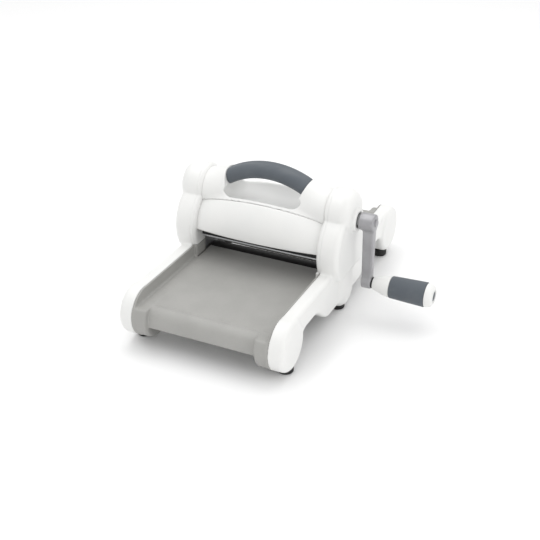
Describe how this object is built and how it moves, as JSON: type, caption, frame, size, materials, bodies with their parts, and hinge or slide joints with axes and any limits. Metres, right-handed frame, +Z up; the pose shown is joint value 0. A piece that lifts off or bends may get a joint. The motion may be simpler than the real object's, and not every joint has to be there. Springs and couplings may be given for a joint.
{
  "type": "die cutting machine",
  "caption": "Hand-cranked roller die cutting machine for paper craft: white covers on steel side plates, grey trays front and back, geared rollers, side crank and a carry handle.",
  "frame": {"origin": "on the table, at the middle of the whole outline, crank handle included", "axes": "+Y runs from the front tray to the rear tray, +Z is up, +X points out along the crank handle"},
  "size_m": [0.3124, 0.362, 0.1675],
  "materials": {
    "white_plastic": "satin moulded plastic",
    "tray_plastic": "fine-textured moulded plastic",
    "grip_rubber": "soft-touch rubber",
    "plate_steel": "rolled plate",
    "machined_steel": "turned and polished",
    "gear_steel": "hobbed, lightly oiled",
    "zinc_fixings": "zinc plated",
    "die_cast": "grey satin die casting",
    "bronze": "sintered bronze",
    "black_plastic": "matt black moulding",
    "foot_rubber": "moulded rubber"
  },
  "bodies": {
    "machine_body": {"left_side_cover": "white_plastic", "right_side_cover": "white_plastic", "left_inner_panel": "white_plastic", "right_inner_panel": "white_plastic", "front_fascia": "white_plastic", "rear_fascia": "white_plastic", "top_housing": "white_plastic", "handle_grip": "grip_rubber", "front_tray": "tray_plastic", "rear_tray": "tray_plastic", "left_side_plate": "plate_steel", "right_side_plate": "plate_steel", "tie_rods": "machined_steel", "tie_rod_nuts": "zinc_fixings", "roller_guards": "black_plastic", "guard_strips": "machined_steel", "crank_bearing_plate": "plate_steel", "plate_spacers": "zinc_fixings", "bearing_plate_screws": "zinc_fixings", "cover_screws": "zinc_fixings", "tray_screws": "zinc_fixings", "rubber_feet": "foot_rubber", "foot_screws": "zinc_fixings", "roller_bushings": "bronze", "crank_bushings": "bronze", "idler_pins": "machined_steel", "idler_rings": "zinc_fixings"},
    "upper_roller": {"upper_roller": "machined_steel", "upper_roller_gear": "gear_steel", "upper_gear_key": "gear_steel", "upper_roller_rings": "zinc_fixings"},
    "lower_roller": {"lower_roller": "machined_steel", "lower_roller_gear": "gear_steel", "lower_gear_key": "gear_steel", "lower_roller_rings": "zinc_fixings"},
    "idler_a": {"idler_gear_a": "gear_steel"},
    "idler_b": {"idler_gear_b": "gear_steel"},
    "crank": {"crank_shaft": "machined_steel", "crank_pinion": "gear_steel", "crank_pinion_key": "gear_steel", "crank_shaft_ring": "zinc_fixings", "crank_arm": "die_cast", "crank_hub_cap": "zinc_fixings", "handle_spindle": "machined_steel", "handle_washer": "black_plastic", "spindle_nut": "zinc_fixings"},
    "crank_handle": {"handle_collar": "white_plastic", "handle_sleeve": "grip_rubber", "handle_end_cap": "white_plastic", "handle_end_plug": "grip_rubber"}
  },
  "joints": [
    {"name": "upper_roller_turn", "type": "hinge", "parent": "machine_body", "child": "upper_roller", "pos_m": [-0.04825, 0, 0.0875], "axis": [1, 0, 0], "continuous": true},
    {"name": "lower_roller_turn", "type": "hinge", "parent": "machine_body", "child": "lower_roller", "pos_m": [-0.04825, 0, 0.034], "axis": [1, 0, 0], "continuous": true},
    {"name": "idler_a_turn", "type": "hinge", "parent": "machine_body", "child": "idler_a", "pos_m": [0.04005, 0.02369, 0.0695], "axis": [1, 0, 0], "continuous": true},
    {"name": "idler_b_turn", "type": "hinge", "parent": "machine_body", "child": "idler_b", "pos_m": [0.04005, 0.02369, 0.052], "axis": [1, 0, 0], "continuous": true},
    {"name": "crank_turn", "type": "hinge", "parent": "machine_body", "child": "crank", "pos_m": [0.06375, 0, 0.119], "axis": [1, 0, 0], "continuous": true},
    {"name": "crank_handle_spin", "type": "hinge", "parent": "crank", "child": "crank_handle", "pos_m": [0.11675, 0, 0.043], "axis": [1, 0, 0], "continuous": true}
  ],
  "couplings": [
    {"joint": "crank_turn", "follows": "upper_roller_turn", "ratio": -2},
    {"joint": "lower_roller_turn", "follows": "upper_roller_turn", "ratio": -1},
    {"joint": "idler_a_turn", "follows": "upper_roller_turn", "ratio": -2.4},
    {"joint": "idler_b_turn", "follows": "upper_roller_turn", "ratio": 2.4}
  ]
}
